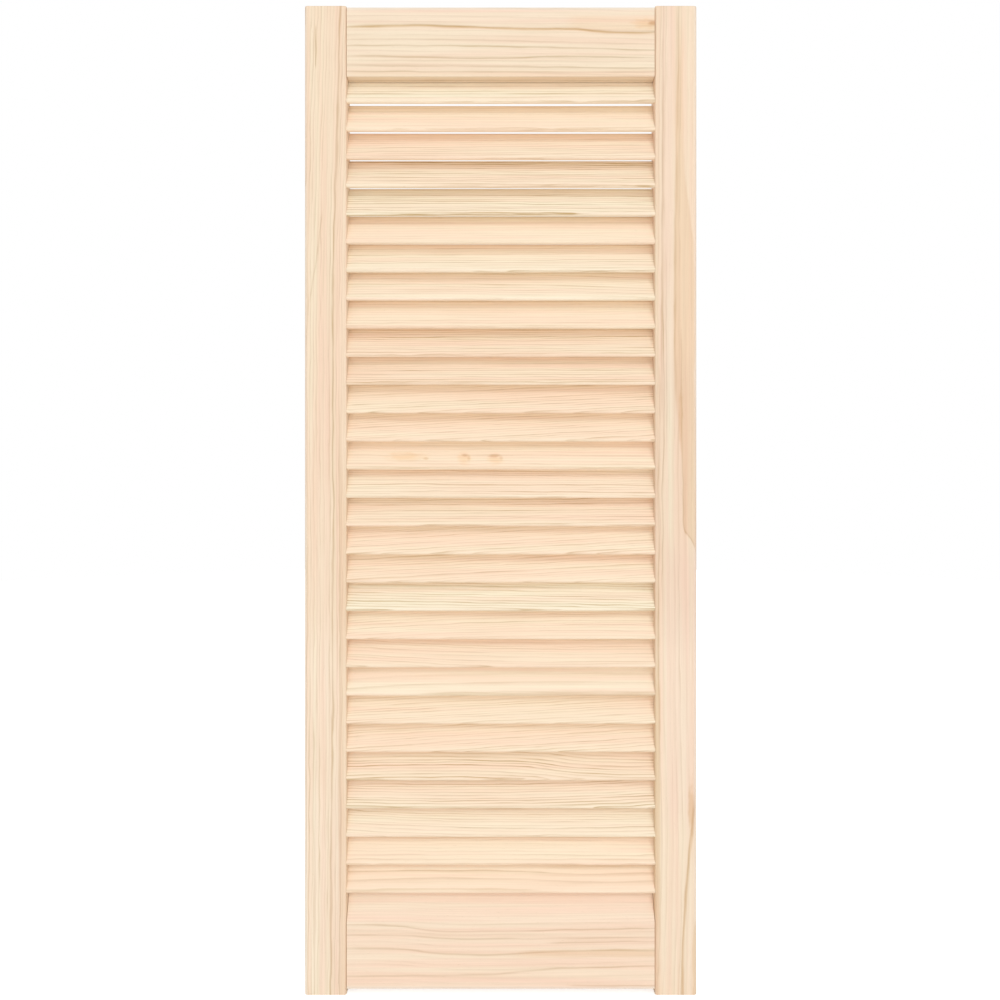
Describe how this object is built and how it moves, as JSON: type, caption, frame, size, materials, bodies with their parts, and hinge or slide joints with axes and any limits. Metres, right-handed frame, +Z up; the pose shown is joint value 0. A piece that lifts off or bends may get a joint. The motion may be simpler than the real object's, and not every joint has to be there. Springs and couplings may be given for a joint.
{
  "type": "louvred cabinet door",
  "caption": "Louvred cabinet door in bare pine: stiles and dowelled rails around fixed slats that slope down to the front, for a ventilated cupboard or wardrobe.",
  "frame": {"origin": "middle of the door's foot: halfway across its width and its thickness, at the lower ends of the stiles", "axes": "+X to the right as seen from the front, +Y from the front face to the back, +Z up the stiles"},
  "size_m": [0.394, 0.021, 0.993],
  "materials": {
    "stile_pine": "bare planed pine, grain up the door",
    "rail_pine": "bare planed pine, grain across the door",
    "slat_pine": "bare moulded pine, grain across the door",
    "dowel_beech": "bare fluted beech"
  },
  "bodies": {
    "root": {"stile_left": "stile_pine", "stile_right": "stile_pine", "rail_top": "rail_pine", "rail_bottom": "rail_pine", "slat_01": "slat_pine", "slat_02": "slat_pine", "slat_03": "slat_pine", "slat_04": "slat_pine", "slat_05": "slat_pine", "slat_06": "slat_pine", "slat_07": "slat_pine", "slat_08": "slat_pine", "slat_09": "slat_pine", "slat_10": "slat_pine", "slat_11": "slat_pine", "slat_12": "slat_pine", "slat_13": "slat_pine", "slat_14": "slat_pine", "slat_15": "slat_pine", "slat_16": "slat_pine", "slat_17": "slat_pine", "slat_18": "slat_pine", "slat_19": "slat_pine", "slat_20": "slat_pine", "slat_21": "slat_pine", "slat_22": "slat_pine", "slat_23": "slat_pine", "slat_24": "slat_pine", "slat_25": "slat_pine", "slat_26": "slat_pine", "slat_27": "slat_pine", "slat_28": "slat_pine", "slat_29": "slat_pine", "dowel_top_left_upper": "dowel_beech", "dowel_top_left_lower": "dowel_beech", "dowel_top_right_upper": "dowel_beech", "dowel_top_right_lower": "dowel_beech", "dowel_bottom_left_upper": "dowel_beech", "dowel_bottom_left_lower": "dowel_beech", "dowel_bottom_right_upper": "dowel_beech", "dowel_bottom_right_lower": "dowel_beech"}
  },
  "joints": []
}
